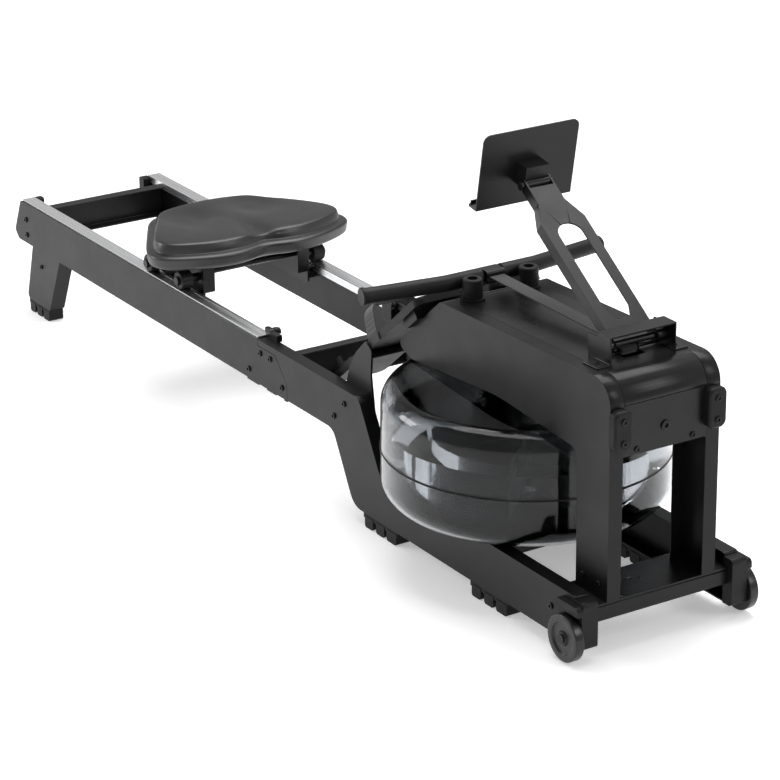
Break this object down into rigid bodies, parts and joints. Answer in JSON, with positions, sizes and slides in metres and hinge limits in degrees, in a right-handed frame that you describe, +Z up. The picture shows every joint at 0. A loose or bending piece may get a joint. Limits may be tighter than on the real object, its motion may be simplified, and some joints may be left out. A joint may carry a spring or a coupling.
{
  "type": "rowing machine",
  "caption": "Folding water rower: low twin rails with a rolling seat, a round water tank under a grey head, a strap-pulled handle, foot boards and a tablet arm.",
  "frame": {"origin": "on the floor, under the middle of the overall length and width", "axes": "+X towards the tank and transport wheels, +Y to the rower's left, +Z up"},
  "size_m": [2.105, 0.518, 0.7991],
  "materials": {
    "frame_grey": "satin",
    "plate_grey": "satin",
    "track_aluminium": "satin",
    "black_plastic": "matte",
    "cover_grey": "satin",
    "rubber_black": "matte",
    "roller_grey": "matte",
    "screw_steel": "satin",
    "steel": "satin",
    "tank_clear": "gloss",
    "water": "gloss",
    "cushion_grey": "satin",
    "strap_web": "matte"
  },
  "bodies": {
    "front_frame": {"side_members": "frame_grey", "wheel_brackets": "black_plastic", "wheel_axles": "steel", "front_crossbar": "frame_grey", "frame_plates": "plate_grey", "tank_cradle": "plate_grey", "frame_feet": "rubber_black", "frame_screws": "screw_steel", "fold_hinge": "steel", "head_panels": "frame_grey", "head_top_cover": "cover_grey", "head_front_cover": "cover_grey", "head_shroud": "black_plastic", "handle_posts": "rubber_black", "storage_bumpers": "rubber_black", "tank_lower": "tank_clear", "tank_upper": "tank_clear", "tank_gasket": "rubber_black", "fill_plug": "black_plastic", "water": "water", "shaft_bearings": "steel", "recoil_spring_case": "black_plastic", "bracket_shafts": "steel", "pull_strap": "strap_web", "tablet_bracket": "plate_grey", "foot_boards": "black_plastic", "foot_straps": "strap_web", "foot_brackets": "frame_grey"},
    "rear_frame": {"rear_rails": "frame_grey", "seat_tracks": "track_aluminium", "rail_end_caps": "black_plastic", "rear_legs": "frame_grey", "rear_leg_feet": "rubber_black", "rail_screws": "screw_steel", "rail_knuckles": "steel", "rear_crossbar": "frame_grey"},
    "seat_carriage": {"carriage_frame": "plate_grey", "seat_cushion": "cushion_grey", "roller_bolts": "screw_steel", "lower_guides": "black_plastic"},
    "roller_front_left": {"roller_front_left": "roller_grey"},
    "roller_front_right": {"roller_front_right": "roller_grey"},
    "roller_rear_left": {"roller_rear_left": "roller_grey"},
    "roller_rear_right": {"roller_rear_right": "roller_grey"},
    "wheel_left": {"wheel_left": "rubber_black"},
    "wheel_right": {"wheel_right": "rubber_black"},
    "handle": {"handle_bar": "steel", "handle_grips": "rubber_black", "handle_end_caps": "black_plastic"},
    "drum": {"strap_drum": "black_plastic", "crown_gear": "steel"},
    "impeller": {"impeller": "black_plastic", "impeller_shaft": "steel"},
    "guide_roller": {"guide_roller": "roller_grey"},
    "tablet_arm": {"tablet_arm": "plate_grey", "tilt_bolt": "screw_steel"},
    "tablet_plate": {"tablet_plate": "plate_grey", "tilt_block": "plate_grey"},
    "heel_cup_left": {"heel_cup_left": "black_plastic"},
    "heel_cup_right": {"heel_cup_right": "black_plastic"}
  },
  "joints": [
    {"name": "rail_fold", "type": "hinge", "parent": "front_frame", "child": "rear_frame", "pos_m": [-0.014, 0, 0.254], "axis": [0, 1, 0], "range_deg": [0, 90]},
    {"name": "seat_slide", "type": "slide", "parent": "rear_frame", "child": "seat_carriage", "axis": [-1, 0, 0], "range_m": [-0.24, 0.45]},
    {"name": "roller_rear_left_spin", "type": "hinge", "parent": "seat_carriage", "child": "roller_rear_left", "pos_m": [-0.461, 0.1509, 0.2663], "axis": [0, 1, 0], "continuous": true},
    {"name": "roller_rear_right_spin", "type": "hinge", "parent": "seat_carriage", "child": "roller_rear_right", "pos_m": [-0.461, -0.1509, 0.2663], "axis": [0, 1, 0], "continuous": true},
    {"name": "roller_front_left_spin", "type": "hinge", "parent": "seat_carriage", "child": "roller_front_left", "pos_m": [-0.335, 0.1509, 0.2663], "axis": [0, 1, 0], "continuous": true},
    {"name": "roller_front_right_spin", "type": "hinge", "parent": "seat_carriage", "child": "roller_front_right", "pos_m": [-0.335, -0.1509, 0.2663], "axis": [0, 1, 0], "continuous": true},
    {"name": "wheel_left_spin", "type": "hinge", "parent": "front_frame", "child": "wheel_left", "pos_m": [1.0105, 0.1825, 0.0435], "axis": [0, 1, 0], "continuous": true},
    {"name": "wheel_right_spin", "type": "hinge", "parent": "front_frame", "child": "wheel_right", "pos_m": [1.0105, -0.1825, 0.0435], "axis": [0, 1, 0], "continuous": true},
    {"name": "handle_pull", "type": "slide", "parent": "front_frame", "child": "handle", "axis": [1, 0, 0], "range_m": [-1.2, 0], "deforming": ["pull_strap"]},
    {"name": "drum_spin", "type": "hinge", "parent": "front_frame", "child": "drum", "pos_m": [0.63, 0, 0.42], "axis": [0, 1, 0], "continuous": true},
    {"name": "impeller_spin", "type": "hinge", "parent": "front_frame", "child": "impeller", "pos_m": [0.63, 0, 0.25], "axis": [0, 0, 1], "continuous": true},
    {"name": "guide_roller_spin", "type": "hinge", "parent": "front_frame", "child": "guide_roller", "pos_m": [0.917, 0, 0.489], "axis": [0, 1, 0], "continuous": true},
    {"name": "arm_pivot", "type": "hinge", "parent": "front_frame", "child": "tablet_arm", "pos_m": [0.935, 0, 0.508], "axis": [0, 1, 0], "range_deg": [-15, 8]},
    {"name": "tablet_tilt", "type": "hinge", "parent": "tablet_arm", "child": "tablet_plate", "pos_m": [0.652, 0, 0.703], "axis": [0, 1, 0], "range_deg": [-20, 20]},
    {"name": "heel_left_slide", "type": "slide", "parent": "front_frame", "child": "heel_cup_left", "axis": [0.766, 0, 0.6428], "range_m": [-0.02, 0.04]},
    {"name": "heel_right_slide", "type": "slide", "parent": "front_frame", "child": "heel_cup_right", "axis": [0.766, 0, 0.6428], "range_m": [-0.02, 0.04]}
  ],
  "couplings": [
    {"joint": "roller_rear_left_spin", "follows": "seat_slide", "rad_per_m": -55.556},
    {"joint": "roller_rear_right_spin", "follows": "seat_slide", "rad_per_m": -55.556},
    {"joint": "roller_front_left_spin", "follows": "seat_slide", "rad_per_m": -55.556},
    {"joint": "roller_front_right_spin", "follows": "seat_slide", "rad_per_m": -55.556},
    {"joint": "drum_spin", "follows": "handle_pull", "rad_per_m": -29.154},
    {"joint": "impeller_spin", "follows": "handle_pull", "rad_per_m": -60.959},
    {"joint": "guide_roller_spin", "follows": "handle_pull", "rad_per_m": 107.53}
  ]
}
